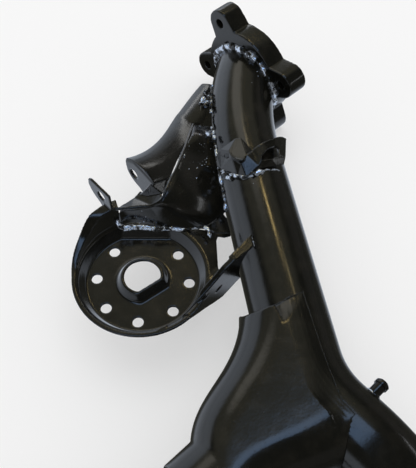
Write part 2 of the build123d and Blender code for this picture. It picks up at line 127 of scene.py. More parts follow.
def rounded_edges(piece, width):
    """Join the flat facets of a sheet and round its sharp edges."""
    take(piece)
    bpy.ops.object.mode_set(mode="EDIT")
    bpy.ops.mesh.select_all(action="SELECT")
    bpy.ops.mesh.dissolve_limited(angle_limit=math.radians(FLAT))
    bpy.ops.object.mode_set(mode="OBJECT")
    bevel = piece.modifiers.new("rounded edges", "BEVEL")
    bevel.width = width * MM
    bevel.segments = 2
    bevel.limit_method = "ANGLE"
    bevel.angle_limit = math.radians(SHARP)
    bevel.use_clamp_overlap = True
    bevel.harden_normals = True
    bpy.ops.object.modifier_apply(modifier=bevel.name)
    bpy.ops.object.shade_smooth_by_angle(angle=math.radians(SHARP))
    return piece


def softened(piece, voxel, rounds, soft_places=(), extra=0, thicken=0.0):
    """Turn a sheet into fine even facets and round its edges by smoothing, more so near some places."""
    take(piece)
    if thicken:
        swell = piece.modifiers.new("paint build-up", "DISPLACE")
        swell.mid_level = 0.0
        swell.strength = thicken * MM
        bpy.ops.object.modifier_apply(modifier=swell.name)
    remesh = piece.modifiers.new("even facets", "REMESH")
    remesh.mode = "VOXEL"
    remesh.voxel_size = voxel * MM
    bpy.ops.object.modifier_apply(modifier=remesh.name)
    if soft_places:
        group = piece.vertex_groups.new(name="deep drawn")
        for centre, reach in soft_places:
            near = [v.index for v in piece.data.vertices if (v.co - centre).length < reach * MM]
            group.add(near, 1.0, "ADD")
    for label, repeats in (("rounded edges", rounds), ("deep drawn", extra)):
        if repeats:
            smooth = piece.modifiers.new(label, "SMOOTH")
            smooth.factor = 0.5
            smooth.iterations = repeats
            if label == "deep drawn":
                smooth.vertex_group = label
            bpy.ops.object.modifier_apply(modifier=smooth.name)
    bpy.ops.object.shade_smooth()
    return piece


# Shader helpers
def new_group(name, inputs, outputs):
    """An empty shader node group with named sockets."""
    group = bpy.data.node_groups.new(name, "ShaderNodeTree")
    for socket, kind, value in inputs:
        made = group.interface.new_socket(name=socket, in_out="INPUT", socket_type=kind)
        if value is not None:
            made.default_value = value
    for socket, kind in outputs:
        group.interface.new_socket(name=socket, in_out="OUTPUT", socket_type=kind)
    return group, group.nodes.new("NodeGroupInput"), group.nodes.new("NodeGroupOutput")


def math_node(tree, operation, a, b):
    """A Math node fed by sockets or numbers."""
    node = tree.nodes.new("ShaderNodeMath")
    node.operation = operation
    for socket, value in zip(node.inputs, (a, b)):
        if isinstance(value, (int, float)):
            socket.default_value = value
        else:
            tree.links.new(value, socket)
    return node.outputs[0]


def ramp(tree, value, low, high):
    """A mask that rises from 0 to 1 between two values."""
    node = tree.nodes.new("ShaderNodeMapRange")
    node.interpolation_type = "SMOOTHSTEP"
    node.inputs["From Min"].default_value = low
    node.inputs["From Max"].default_value = high
    tree.links.new(value, node.inputs["Value"])
    return node.outputs["Result"]


def noise_node(tree, vector, scale, detail=3.0, roughness=0.5):
    """A Noise Texture on given coordinates."""
    node = tree.nodes.new("ShaderNodeTexNoise")
    node.inputs["Scale"].default_value = scale
    node.inputs["Detail"].default_value = detail
    node.inputs["Roughness"].default_value = roughness
    tree.links.new(vector, node.inputs["Vector"])
    return node.outputs["Fac"]


# Noise scales of the paint film, of what has settled on it, and of the welds' bare patches that are also
# painted glints
PEEL_SCALE, RUN_SCALE, SPECK_SCALE, CLOUD_SCALE = 420.0, 38.0, 900.0, 14.0
GRIME_SCALE, SCRATCH_SCALE, PATCH_SCALE, BARE_GLINT_SCALE = 60.0, 220.0, 22.0, 120.0
# How the scratches are stretched and turned
SCRATCH_STRETCH, SCRATCH_TURN = (1.0, 9.0, 1.0), (0.3, 0.2, 0.75)
# How much the orange peel and the specks add to the film's height, next to the runs
PEEL_SHARE, SPECK_SHARE = 0.18, 0.25
# Heights of the bumps, in metres
FILM_BUMP, GRAIN_BUMP = 0.0004, 0.0003
# How much the clouds, the dust and the rubs add to the roughness
CLOUD_ROUGHNESS, DUST_ROUGHNESS, RUB_ROUGHNESS = 0.08, 0.8, 0.25
# Masks: the values where each one starts and where it is full
SPECK_MASK, LEVEL_MASK, GRIME_MASK = (0.70, 0.80), (0.25, 1.0), (0.42, 0.75)
SCRATCH_MASK, PATCH_MASK, BARE_GLINT_MASK = (0.66, 0.74), (0.52, 0.68), (0.47, 0.55)
DUST_COLOUR = (0.20, 0.17, 0.12, 1)
# The welds' bare patches: partly bare weld metal, and partly a painted highlight, since their pale blue tint
# stands in for glints
BARE_WELD_GLINT_COLOUR, BARE_GLINT_METALLIC = (0.62, 0.68, 0.78, 1), 0.85


def dip_paint_group():
    """Thick dip paint: orange peel, slow runs and specks under the film."""
    group, inp, out = new_group(
        "dip paint film",
        [
            ("Vector", "NodeSocketVector", None),
            ("Peel", "NodeSocketFloat", 1.0),
            ("Runs", "NodeSocketFloat", 1.0),
        ],
        [("Height", "NodeSocketFloat"), ("Cloud", "NodeSocketFloat")],
    )
    vector = inp.outputs["Vector"]
    peel = noise_node(group, vector, PEEL_SCALE, 2.0)
    runs = noise_node(group, vector, RUN_SCALE, 3.0)
    specks = ramp(group, noise_node(group, vector, SPECK_SCALE, 1.0), *SPECK_MASK)
    height = math_node(group, "MULTIPLY", math_node(group, "MULTIPLY", peel, inp.outputs["Peel"]), PEEL_SHARE)
    height = math_node(group, "ADD", height, math_node(group, "MULTIPLY", runs, inp.outputs["Runs"]))
    height = math_node(group, "ADD", height, math_node(group, "MULTIPLY", specks, SPECK_SHARE))
    group.links.new(height, out.inputs["Height"])
    group.links.new(noise_node(group, vector, CLOUD_SCALE, 4.0, 0.6), out.inputs["Cloud"])
    return group


def handling_group():
    """Rubs, fine scratches and dust left by handling, as masks."""
    group, inp, out = new_group(
        "handling marks",
        [("Vector", "NodeSocketVector", None), ("Normal Z", "NodeSocketFloat", 0.0)],
        [("Dust", "NodeSocketFloat"), ("Rub", "NodeSocketFloat")],
    )
    vector = inp.outputs["Vector"]
    grime = noise_node(group, vector, GRIME_SCALE, 6.0, 0.62)
    settle = ramp(group, inp.outputs["Normal Z"], *LEVEL_MASK)
    group.links.new(math_node(group, "MULTIPLY", ramp(group, grime, *GRIME_MASK), settle), out.inputs["Dust"])
    stretch = group.nodes.new("ShaderNodeMapping")
    stretch.inputs["Scale"].default_value = SCRATCH_STRETCH
    stretch.inputs["Rotation"].default_value = SCRATCH_TURN
    group.links.new(vector, stretch.inputs["Vector"])
    lines = noise_node(group, stretch.outputs["Vector"], SCRATCH_SCALE, 2.0)
    patch = ramp(group, noise_node(group, vector, PATCH_SCALE, 3.0), *PATCH_MASK)
    group.links.new(math_node(group, "MULTIPLY", ramp(group, lines, *SCRATCH_MASK), patch), out.inputs["Rub"])
    return group


GROUPS = {}
MATERIALS = {}


def placed(tree, name, **values):
    """A shared group placed in a material with its own values."""
    if name not in GROUPS:
        GROUPS[name] = {"film": dip_paint_group, "handling": handling_group}[name]()
    node = tree.nodes.new("ShaderNodeGroup")
    node.node_tree = GROUPS[name]
    for socket, value in values.items():
        node.inputs[socket.replace("_", " ")].default_value = value
    return node


def mixed(tree, mask, a, b):
    """A colour between two colours, by a mask."""
    node = tree.nodes.new("ShaderNodeMix")
    node.data_type = "RGBA"
    tree.links.new(mask, node.inputs["Factor"])
    for socket, value in ((node.inputs[6], a), (node.inputs[7], b)):
        if isinstance(value, tuple):
            socket.default_value = value
        else:
            tree.links.new(value, socket)
    return node.outputs[2]


def new_material(name, colour):
    """A material with one shader: its tree, the shader and the node with the places on a piece."""
    material = bpy.data.materials.new(name)
    MATERIALS[name] = material
    material.use_nodes = True
    material.diffuse_color = (*colour, 1)
    tree = material.node_tree
    tree.nodes.clear()
    out = tree.nodes.new("ShaderNodeOutputMaterial")
    shader = tree.nodes.new("ShaderNodeBsdfPrincipled")
    tree.links.new(shader.outputs["BSDF"], out.inputs["Surface"])
    return tree, shader, tree.nodes.new("ShaderNodeTexCoord")


def bumped(tree, shader, height, strength, distance):
    """Bump a surface by a height."""
    node = tree.nodes.new("ShaderNodeBump")
    node.inputs["Strength"].default_value = strength
    node.inputs["Distance"].default_value = distance
    tree.links.new(height, node.inputs["Height"])
    tree.links.new(node.outputs["Normal"], shader.inputs["Normal"])


def paint_material(name, colour, dust, gloss, bump, peel=1.0, runs=1.0):
    """Glossy dip paint with its film, dust and rubs."""
    if name in MATERIALS:
        return MATERIALS[name]
    tree, shader, place = new_material(name, colour)
    facing = tree.nodes.new("ShaderNodeNewGeometry")
    split = tree.nodes.new("ShaderNodeSeparateXYZ")
    tree.links.new(facing.outputs["Normal"], split.inputs[0])
    film = placed(tree, "film", Peel=peel, Runs=runs)
    marks = placed(tree, "handling")
    for node in (film, marks):
        tree.links.new(place.outputs["Object"], node.inputs["Vector"])
    tree.links.new(split.outputs["Z"], marks.inputs["Normal Z"])
    thin, thick = [(*[c * share for c in colour], 1) for share in (0.75, 1.25)]
    base = mixed(tree, film.outputs["Cloud"], thin, thick)
    dusty = mixed(tree, math_node(tree, "MULTIPLY", marks.outputs["Dust"], dust), base, DUST_COLOUR)
    tree.links.new(dusty, shader.inputs["Base Color"])
    rough = math_node(tree, "ADD", math_node(tree, "MULTIPLY", film.outputs["Cloud"], CLOUD_ROUGHNESS), gloss)
    for mark, more in (("Dust", dust * DUST_ROUGHNESS), ("Rub", RUB_ROUGHNESS)):
        rough = math_node(tree, "ADD", rough, math_node(tree, "MULTIPLY", marks.outputs[mark], more))
    tree.links.new(rough, shader.inputs["Roughness"])
    bumped(tree, shader, film.outputs["Height"], bump, FILM_BUMP)
    return MATERIALS[name]


def weld_material():
    """Painted weld metal: lumpy, glossy, with bare patches tinted pale blue, partly bare metal and partly
    painted glints.
    """
    name = "painted weld"
    if name in MATERIALS:
        return MATERIALS[name]
    paint = bpy.context.scene.axle_paint
    material = paint_material(name, tuple(paint.colour), paint.dust, gloss=0.10, bump=0.8, peel=6.0, runs=2.0)
    tree = material.node_tree
    shader = next(node for node in tree.nodes if node.type == "BSDF_PRINCIPLED")
    place = next(node for node in tree.nodes if node.type == "TEX_COORD")
    base = shader.inputs["Base Color"].links[0].from_socket
    # Patches of bare weld metal, tinted pale blue: partly the metal's own colour, partly painted glints
    bare = ramp(tree, noise_node(tree, place.outputs["Object"], BARE_GLINT_SCALE), *BARE_GLINT_MASK)
    tree.links.new(mixed(tree, bare, base, BARE_WELD_GLINT_COLOUR), shader.inputs["Base Color"])
    tree.links.new(math_node(tree, "MULTIPLY", bare, BARE_GLINT_METALLIC), shader.inputs["Metallic"])
    return material


def plain_material(name, colour, roughness, metallic, scale, bump):
    """Rubber or turned metal, with its grain."""
    if name in MATERIALS:
        return MATERIALS[name]
    tree, shader, place = new_material(name, colour)
    shader.inputs["Metallic"].default_value = metallic
    grain = noise_node(tree, place.outputs["Object"], scale, 4.0, 0.6)
    dark, light = [(*[min(1, c * share) for c in colour], 1) for share in (0.7, 1.3)]
    tone = mixed(tree, grain, dark, light)
    tree.links.new(tone, shader.inputs["Base Color"])
    rough = math_node(tree, "ADD", math_node(tree, "MULTIPLY", grain, 0.2), roughness - 0.1)
    tree.links.new(rough, shader.inputs["Roughness"])
    bumped(tree, shader, grain, bump, GRAIN_BUMP)
    return MATERIALS[name]


# Properties
class AxlePaint(bpy.types.PropertyGroup):
    """Colour and finish of the painted steel."""

    colour: bpy.props.FloatVectorProperty(
        name="Paint", description="Colour of the dip paint", subtype="COLOR", size=3,
        default=(0.0045, 0.0045, 0.0036)
    )
    roughness: bpy.props.FloatProperty(
        name="Roughness", description="Roughness of the clean paint film", default=0.11, min=0.02, max=1.0
    )
    dust: bpy.props.FloatProperty(
        name="Dust", description="How much dust lies on level faces", subtype="FACTOR", default=0.03,
        min=0.0, max=1.0
    )
    edge: bpy.props.FloatProperty(
        name="Edge radius", description="Rounding of the cut edges, in millimetres", default=0.6,
        min=0.0, max=2.0
    )


class AxleStage(bpy.types.PropertyGroup):
    """Floor, lamps and camera."""

    floor: bpy.props.FloatVectorProperty(
        name="Floor", description="Colour of the floor", subtype="COLOR", size=3, default=(0.5, 0.5, 0.5)
    )
    lens: bpy.props.FloatProperty(
        name="Lens", description="Focal length of the camera, in millimetres", default=53.85,
        min=10.0, max=200.0
    )
    level: bpy.props.FloatProperty(
        name="Lamp level", description="Strength of the softboxes", default=1.0, min=0.0, max=5.0
    )


def black_paint():
    """The paint of the whole axle."""
    paint = bpy.context.scene.axle_paint
    return paint_material("black dip paint", tuple(paint.colour), paint.dust, paint.roughness, bump=0.5)


def painted(node, edge=None):
    """The painted copy of a solid, with rounded edges."""
    paint = bpy.context.scene.axle_paint
    piece = rounded_edges(merged_copy(node, "painted_" + node), edge or paint.edge)
    return finish_piece(piece, black_paint(), "black_paint", node)


# Facet size in millimetres and rounds of smoothing of each pressed sheet
PRESSED = {
    "spring_pan": (0.78, 7), "pan_gusset": (0.75, 10), "damper_bracket": (0.75, 10),
    "beam_end": (1.0, 10), "stub_axle_plate": (1.0, 9),
}
# The drawn boss of the pan: reach in millimetres and more rounds; and how much paint thickens the gusset
BOSS_REACH, BOSS_ROUNDS, GUSSET_COAT = 36, 30, 0.5


def pressed(side, part, soft_places=(), extra=0, thicken=0.0):
    """The painted copy of a pressed sheet, with soft edges."""
    node = side + "_" + part
    piece = softened(merged_copy(node, "painted_" + node), *PRESSED[part], soft_places, extra, thicken)
    return finish_piece(piece, black_paint(), "black_paint", node)


def mirrored_place(place, sign):
    """A place on the left arm, or the same place on the right arm."""
    return Vector((sign * place.x, place.y, place.z))


# Weld helpers
SKINS = {}
# How often a place is drawn from one skin to the other to find their corner
CORNER_TRIES = 12
# A bead stands out of its corner by this share of its radius
BEAD_LIFT = 0.25
# How much a bead swells and shrinks, its ends' radius, and the roughness of its skin, as shares of its radius
BEAD_SWELL, BEAD_END, BEAD_ROUGH = 0.7, 0.55, 0.24
# Noise scales of the swelling and of the skin, and the seed of the skin's noise
SWELL_SCALE, SKIN_SCALE = 110, 380
SKIN_SEED = 7


def skin(piece):
    """A finder for the nearest place on a painted piece."""
    if piece not in SKINS:
        mesh = bpy.data.objects[piece].data
        corners = [v.co for v in mesh.vertices]
        SKINS[piece] = BVHTree.FromPolygons(corners, [p.vertices for p in mesh.polygons])
    return SKINS[piece]


def spread(line, step, closed=False):
    """Evenly spaced places along a line of straight runs."""
    corners = list(line) + ([line[0]] if closed else [])
    places = []
    for a, b in zip(corners, corners[1:]):
        count = max(1, round((b - a).length / (step * MM)))
        places += [a.lerp(b, k / count) for k in range(count)]
    return places if closed else places + [corners[-1]]


def into_corner(place, one, two):
    """The place where two pieces meet, near a given place, and the way out of the corner."""
    for _ in range(CORNER_TRIES):
        place = skin(one).find_nearest(place)[0]
        place = skin(two).find_nearest(place)[0]
    outward = skin(one).find_nearest(place)[1] + skin(two).find_nearest(place)[1]
    return place, outward.normalized() if outward.length > 1e-6 else Vector((0, 0, 1))


def laid_on(place, one):
    """The nearest place on one piece, and its normal."""
    found, normal, _, _ = skin(one).find_nearest(place)
    return found, normal


def weld_bead(name, stops, radius, seed, closed=False, ripple=0.16, sway=0.22):
    """A rippled bead of weld metal along its stops, each a place and the way out from it."""
    nothing_selected()
    bpy.ops.curve.primitive_nurbs_path_add()
    bead = bpy.context.object
    bead.name = name
    bead.data.splines.remove(bead.data.splines[0])
    bead.matrix_world = Matrix.Identity(4)
    run = bead.data.splines.new("POLY")
    run.points.add(len(stops) - 1)
    run.use_cyclic_u = closed
    dice = random.Random(seed)
    for k, (point, (place, outward)) in enumerate(zip(run.points, stops)):
        swell = 1 + ripple * (1 if k % 2 else -1)
        swell += BEAD_SWELL * noise.noise(place * SWELL_SCALE + Vector((seed, 0, 0)))
        stray = Vector([dice.uniform(-1, 1) for _ in range(3)]) * radius * sway
        point.co = (*(place + (outward * radius * BEAD_LIFT + stray) * MM), 1)
        point.radius = swell * (BEAD_END if not closed and k in (0, len(stops) - 1) else 1.0)
    bead.data.dimensions = "3D"
    bead.data.bevel_depth = radius * MM
    bead.data.bevel_resolution = 3
    bead.data.use_fill_caps = True
    take(bead)
    bpy.ops.object.convert(target="MESH")
    bead = bpy.context.object
    caps = bead.modifiers.new("joined caps", "WELD")
    caps.merge_threshold = 1e-6
    bpy.ops.object.modifier_apply(modifier=caps.name)
    finer = bead.modifiers.new("finer facets", "SUBSURF")
    finer.levels = 1
    bpy.ops.object.modifier_apply(modifier=finer.name)
    for v in bead.data.vertices:
        v.co += noise.noise_vector(v.co * SKIN_SCALE) * radius * BEAD_ROUGH * MM
    bpy.ops.object.shade_smooth()
    return bead


def joined(pieces, name):
    """Several meshes made one."""
    nothing_selected()
    for piece in pieces:
        piece.select_set(True)
    bpy.context.view_layer.objects.active = pieces[0]
    if len(pieces) > 1:
        bpy.ops.object.join()
    whole = bpy.context.object
    whole.name = name
    whole.data.name = name
    return whole


def both_sides(piece, name, material, slot, *nodes):
    """Finish a piece of the left arm and its mirror image on the right arm."""
    piece.name = "left_" + name
    mesh = piece.data.copy()
    mesh.transform(Matrix.Scale(-1, 4, (1, 0, 0)))
    mesh.flip_normals()
    other = bpy.data.objects.new("right_" + name, mesh)
    bpy.context.scene.collection.objects.link(other)
    finish_piece(piece, material, slot, *["left_" + node for node in nodes])
    finish_piece(other, material, slot, *["right_" + node for node in nodes])


# The pieces of the left arm that welds lie on
ARM, PAN, GUSSET = "painted_left_trailing_arm", "painted_left_spring_pan", "painted_left_pan_gusset"
BRACKET, SHELL = "painted_left_damper_bracket", "painted_left_beam_end"
PLATE, EYE, STUD = "painted_left_stub_axle_plate", "painted_left_bush_eye", "painted_left_cable_stud"


def ring_line(centre, across, up, count=24):
    """A rough closed line round a centre."""
    turns = [2 * math.pi * k / count for k in range(count)]
    return [arm(*(Vector(centre) + Vector(across) * math.cos(t) + Vector(up) * math.sin(t))) for t in turns]


# Weld lines of the left arm: name, radius, the two pieces that meet, a rough line, and if it is closed
WELDS = [
    ("plate_weld", 5.0, ARM, PLATE, ring_line((270, 132.5, 4), (0, 49, 0), (0, 0, 38)), True),
    ("eye_weld", 3.6, ARM, EYE, ring_line((31.7, -300, -12), (35, 0, 0), (0, -12, 36)), True),
    ("gusset_tube_weld", 2.4, ARM, GUSSET,
     [arm(106, -1, 14), arm(118, 8, 20), arm(148, 42, 20), arm(184, 88, 16)], False),
    ("bracket_tube_weld", 2.4, ARM, BRACKET,
     [arm(196, 104, 18), arm(214, 122, 22), arm(232, 143, 16)], False),
    ("strip_weld", 1.5, ARM, PAN, [arm(90, -62, 40), arm(99, -55, 40), arm(98, -48, 40)], False),
    ("shell_crest_weld", 0.8, ARM, SHELL,
     [arm(48, -190, 42), arm(66, -160, 43), arm(84.5, -128.6, 43), arm(100, -104, 36)], False),
    ("shell_rear_weld", 0.9, ARM, SHELL,
     [arm(84.5, -127, 43), arm(62, -118, 42), arm(50, -110, 28)], False),
    ("shell_front_weld", 0.8, ARM, SHELL,
     [arm(31.7, -218, 43), arm(40, -204, 43), arm(48, -190, 42)], False),
    ("stud_weld", 1.3, ARM, STUD, ring_line((67, -228, 12), (0, 6, 0), (0, 0, 6), 12), True),
]


# The pan's weld runs up its left end and hooks round at its right end
PAN_WELD = [
    (20.4, 63.5, 34), (20.8, 63.4, 22), (19.5, 59.1, 14), (21.9, 52.7, 13), (33.7, 43.4, 13), (47.1, 28.4, 13),
    (61.8, 14.7, 13), (75.1, 5.6, 13), (81.4, 0.6, 13), (81.8, -4.8, 13), (77.5, -12.4, 13),
]
# Both ridges of that weld: name, line, radius and how far it is shifted
PAN_WELDS = [
    ("pan_weld", PAN_WELD, 1.9, (0, 0, 0)),
    ("pan_weld_toe", PAN_WELD[2:], 1.3, (-1.2, -1.6, 0)),
]
# Heavy runs of weld: name, the piece they lie on, their line and their radius
LUMPS = [
    ("clip_weld_near", ARM, [(135, 22, 32), (138, 11, 35), (141, 2, 38), (149, -2, 40), (158, -4, 41)], 3.0),
    ("clip_weld_lumps", ARM, [(140, 36, 22), (132, 31, 26), (130, 22, 30), (134, 15, 33)], 2.6),
    ("clip_weld_far", ARM, [(158, -4, 41), (168, -8, 38), (178, -12, 34)], 0.9),
    ("bracket_weld_lumps", BRACKET, [(215, 133, 15), (206, 127, 17), (197, 121, 19), (189, 117, 20)], 3.4),
    ("bracket_weld_back", BRACKET, [(212, 138, 15), (200, 129, 18), (188, 121, 20)], 2.4),
    ("gap_weld_lumps", "left_fork_flange",
     [(197.8, 121.1, 17), (188.6, 114.6, 17), (182, 105.8, 17), (172.3, 100.3, 17)], 2.8),
    ("gusset_weld_lump", GUSSET, [(166, 84, 26), (158, 76, 30)], 3.2),
]
# A bead has a stop every half radius, a lump every 0.8 of its radius
BEAD_STEP, LUMP_STEP = 0.5, 0.8
# The seed of the pan's weld, to which the number of its corners is added
PAN_WELD_SEED = 31


class AXLE_OT_welds(bpy.types.Operator):
    """Add the weld beads of both arms"""

    bl_idname = "axle.welds"
    bl_label = "Weld beads"

    def execute(self, context):
        seam = weld_material()
        noise.seed_set(SKIN_SEED)
        for seed, (name, radius, one, two, line, closed) in enumerate(WELDS):
            stops = [into_corner(place, one, two) for place in spread(line, radius * BEAD_STEP, closed)]
            bead = weld_bead(name, stops, radius, seed + 1, closed)
            both_sides(bead, name, black_paint() if two == SHELL else seam, "black_paint")
        for name, line, radius, shift in PAN_WELDS:
            places = [arm(*(Vector(corner) + Vector(shift))) for corner in line]
            stops = [(place, Vector((0, 0, 1))) for place in spread(places, radius * BEAD_STEP)]
            bead = weld_bead(name, stops, radius, PAN_WELD_SEED + len(line))
            both_sides(bead, name, seam, "black_paint")
        for name, piece, line, radius in LUMPS:
            places = spread([arm(*corner) for corner in line], radius * LUMP_STEP)
            stops = [laid_on(place, piece) for place in places]
            lump = weld_bead(name, stops, radius, len(name), ripple=0.3, sway=0.6)
            both_sides(lump, name, seam, "black_paint")
        return {"FINISHED"}


# Spatter: its middle, its reach, how many beads, and the piece it lies on
SPATTER = [
    ((128, 60, 34), 13, 60, GUSSET),
    ((150, 84, 26), 8, 24, GUSSET),
    ((40, 46, 20), 8, 12, GUSSET),
    ((150, 0, 36), 10, 14, ARM),
    ((250, 110, 30), 8, 14, ARM),
]
# Radii of its beads in millimetres, and how far they stand out, as a share of the radius
SPATTER_RADII, SPATTER_LIFT = (0.25, 0.75), 0.2
SPATTER_SEED = 8


class AXLE_OT_spatter(bpy.types.Operator):
    """Add the beads of spatter round the welds"""

    bl_idname = "axle.spatter"
    bl_label = "Weld spatter"

    def execute(self, context):
        dice = random.Random(SPATTER_SEED)
        dots = []
        for centre, reach, count, piece in SPATTER:
            for _ in range(count):
                away = Vector([dice.gauss(0, reach) for _ in range(3)]) * MM
                place, normal = laid_on(arm(*centre) + away, piece)
                radius = dice.uniform(*SPATTER_RADII) * MM
                middle = place + normal * radius * SPATTER_LIFT
                bpy.ops.mesh.primitive_ico_sphere_add(subdivisions=1, radius=radius, location=middle)
                dots.append(bpy.context.object)
        spatter = joined(dots, "weld_spatter")
        bpy.ops.object.transform_apply(location=True, rotation=True, scale=True)
        bpy.ops.object.shade_smooth()
        both_sides(spatter, "weld_spatter", weld_material(), "black_paint")
        return {"FINISHED"}


class AXLE_OT_trailing_arms(bpy.types.Operator):
    """Add the two bent arm tubes"""

    bl_idname = "axle.trailing_arms"
    bl_label = "Trailing arms"

    def execute(self, context):
        for side, _ in SIDES:
            painted(side + "_trailing_arm")
        return {"FINISHED"}


class AXLE_OT_spring_pans(bpy.types.Operator):
    """Add the pressed spring pans"""

    bl_idname = "axle.spring_pans"
    bl_label = "Spring pans"

    def execute(self, context):
        for side, sign in SIDES:
            boss = mirrored_place(arm(0, 0, 4), sign)
            pan = pressed(side, "spring_pan", [(boss, BOSS_REACH)], BOSS_ROUNDS)
            slope_web(pan, sign)
        return {"FINISHED"}


# The pan's web: how far from the pan's middle it starts, its corner, its levels, its fall, and its ease
WEB_START = 65.0
WEB_X, WEB_Y = 30.0, -50.0
WEB_LEVELS = (8.4, 13.0)
WEB_FALL, WEB_EASE = 0.34, 8.0


def slope_web(pan, sign):
    """Let the flat web fall away from the bowl."""
    low, high = WEB_LEVELS
    for v in pan.data.vertices:
        x, y, z = sign * v.co.x / MM - PAN_X, v.co.y / MM - FRAME_Y, v.co.z / MM - FRAME_Z
        away = math.hypot(x, y) - WEB_START
        if away > 0 and x > WEB_X and y > WEB_Y and low < z < high:
            v.co.z -= WEB_FALL * away * min(1.0, (y - WEB_Y) / WEB_EASE) * MM


class AXLE_OT_sheets(bpy.types.Operator):
    """Add the gussets, damper brackets and cable studs"""

    bl_idname = "axle.sheets"
    bl_label = "Gussets and brackets"

    def execute(self, context):
        for side, sign in SIDES:
            gusset = pressed(side, "pan_gusset", thicken=GUSSET_COAT)
            pull_ridge(gusset, sign)
            pressed(side, "damper_bracket")
            painted(side + "_cable_stud")
        return {"FINISHED"}


# The gusset's ridge: where the solid has it, and where its rolled edge goes, in the arm's own frame
RIDGE = [
    ((20, 62.9, 38), (21.2, 61.9, 38)),
    ((43, 41.5, 41), (45.2, 38.6, 41)),
    ((55, 39.5, 46.5), (56, 33.9, 46.5)),
    ((68.7, 41.2, 51), (68.9, 39, 51)),
    ((91.6, 54.9, 48), (93.2, 52.8, 48)),
    ((124.5, 76.3, 38), (124.1, 75.1, 38)),
    ((160.9, 103.7, 26), (159.4, 101.5, 26)),
]
# How far from the ridge the sheet still follows it
RIDGE_REACH = 24.0


def pull_ridge(gusset, sign):
    """Draw the gusset's ridge out to its rolled edge."""
    ridge = [(mirrored_place(arm(*a), sign), mirrored_place(arm(*b), sign)) for a, b in RIDGE]
    for v in gusset.data.vertices:
        best = None
        for (a, a2), (b, b2) in zip(ridge, ridge[1:]):
            along = min(1.0, max(0.0, (v.co - a).dot(b - a) / (b - a).length_squared))
            away = (v.co - a.lerp(b, along)).length / (RIDGE_REACH * MM)
            if best is None or away < best[0]:
                best = (away, (a2 - a).lerp(b2 - b, along))
        away, shift = best
        if away < 1:
            v.co += shift * (1 - away) ** 2 * (1 + 2 * away)


def plates(name, facets, thickness):
    """Closed flat plates through lists of corners of the left arm, in one mesh."""
    mesh = bmesh.new()
    for corners in facets:
        places = [arm(*corner) for corner in corners]
        normal = Vector((0, 0, 0))
        for a, b in zip(places, places[1:] + places[:1]):
            normal += a.cross(b)
        offset = normal.normalized() * thickness * MM / 2
        top = [mesh.verts.new(place + offset) for place in places]
        low = [mesh.verts.new(place - offset) for place in places]
        mesh.faces.new(top)
        mesh.faces.new(low[::-1])
        for k in range(len(places)):
            j = (k + 1) % len(places)
            mesh.faces.new((top[k], low[k], low[j], top[j]))
    data = bpy.data.meshes.new(name)
    mesh.to_mesh(data)
    mesh.free()
    piece = bpy.data.objects.new(name, data)
    bpy.context.scene.collection.objects.link(piece)
    return piece


def rolled_edge(name, corners, radius):
    """A thin round edge along some corners of the left arm."""
    nothing_selected()
    bpy.ops.curve.primitive_nurbs_path_add()
    edge = bpy.context.object
    edge.name = name
    edge.data.splines.remove(edge.data.splines[0])
    edge.matrix_world = Matrix.Identity(4)
    run = edge.data.splines.new("NURBS")
    run.points.add(len(corners) - 1)
    for point, corner in zip(run.points, corners):
        point.co = (*arm(*corner), 1)
    run.order_u = 3
    run.use_endpoint_u = True
    run.resolution_u = 6
    edge.data.dimensions = "3D"
    edge.data.bevel_depth = radius * MM
    edge.data.bevel_resolution = 3
    edge.data.use_fill_caps = True
    take(edge)
    bpy.ops.object.convert(target="MESH")
    return bpy.context.object


# Corners of the folded flange between the fork and the gusset, of the gusset's foot, and of the gap's plate.
# The strip of fork_ and low_ corners is partly the bracket's inner face reaching down to the gusset's rim, and
# partly a dark sheet over the fork ear's face where it lies in shade: painted shade.
FLANGE = {
    "tail": (24, 61, 36), "back": (43.3, 60.7, 35), "ear": (52.5, 62.5, 36), "dip": (54, 54, 39),
    "inner": (58, 48.5, 42), "neck": (64, 42.5, 46), "bend": (56, 33.9, 46.5),
    "front": (46.7, 37.3, 42), "tip": (31.9, 51.7, 39), "fork_a": (55.8, 48.6, 58),
    "fork_b": (73, 47.5, 53), "fork_c": (90.5, 51.4, 46), "fork_d": (124, 75.5, 35.5),
    "low_a": (50, 60, 36), "low_b": (54, 50, 38), "low_c": (62.5, 39.5, 46), "low_d": (87.5, 50.5, 44),
    "low_e": (122, 75, 34), "low_f": (158, 101, 22), "fork_e": (160, 101, 24), "foot_a": (70, 12, 11.5),
    "foot_b": (82, 0, 8.5), "foot_c": (86, -10, 7), "foot_d": (101, -18.5, 2), "foot_e": (111, -6, -1),
    "foot_f": (113, 6, -1.5), "foot_g": (95, 14, 3.5), "gap_a": (191.8, 124.7, 20),
    "gap_b": (211.5, 125.7, 14), "gap_c": (177.0, 87.4, 14), "gap_d": (161.8, 93.8, 20),
    "gap_e": (173.5, 109.8, 20),
}
FLANGE_FACETS = [
    ("tail", "back", "tip"), ("back", "ear", "dip", "front", "tip"), ("dip", "inner", "front"),
    # From the low_a facet on: the fork's strip down to the gusset rim, partly the bracket's inner face, partly
    # a dark sheet over the fork ear's shaded face as painted shade
    ("inner", "neck", "bend", "front"), ("low_a", "fork_a", "low_b"),
    ("fork_a", "fork_b", "low_c", "low_b"), ("fork_b", "fork_c", "low_d", "low_c"),
    ("fork_c", "fork_d", "low_e", "low_d"), ("fork_d", "fork_e", "low_f", "low_e"),
    ("gap_a", "gap_b", "gap_c", "gap_d", "gap_e"), ("foot_b", "foot_c", "foot_d", "foot_e"),
    ("foot_a", "foot_b", "foot_e", "foot_f", "foot_g"),
]
RIM = [
    (20, 62.5, 37), (31.9, 51.7, 38), (45.2, 38.6, 40.5), (53, 34, 45), (58, 33.4, 48),
    (62.5, 35.6, 50.5), (68.9, 39, 51), (80, 45.5, 50), (93.2, 52.8, 48), (108, 63.5, 43.5),
    (124.1, 75.1, 38), (142, 88.5, 32), (159.4, 101.5, 26.5),
]

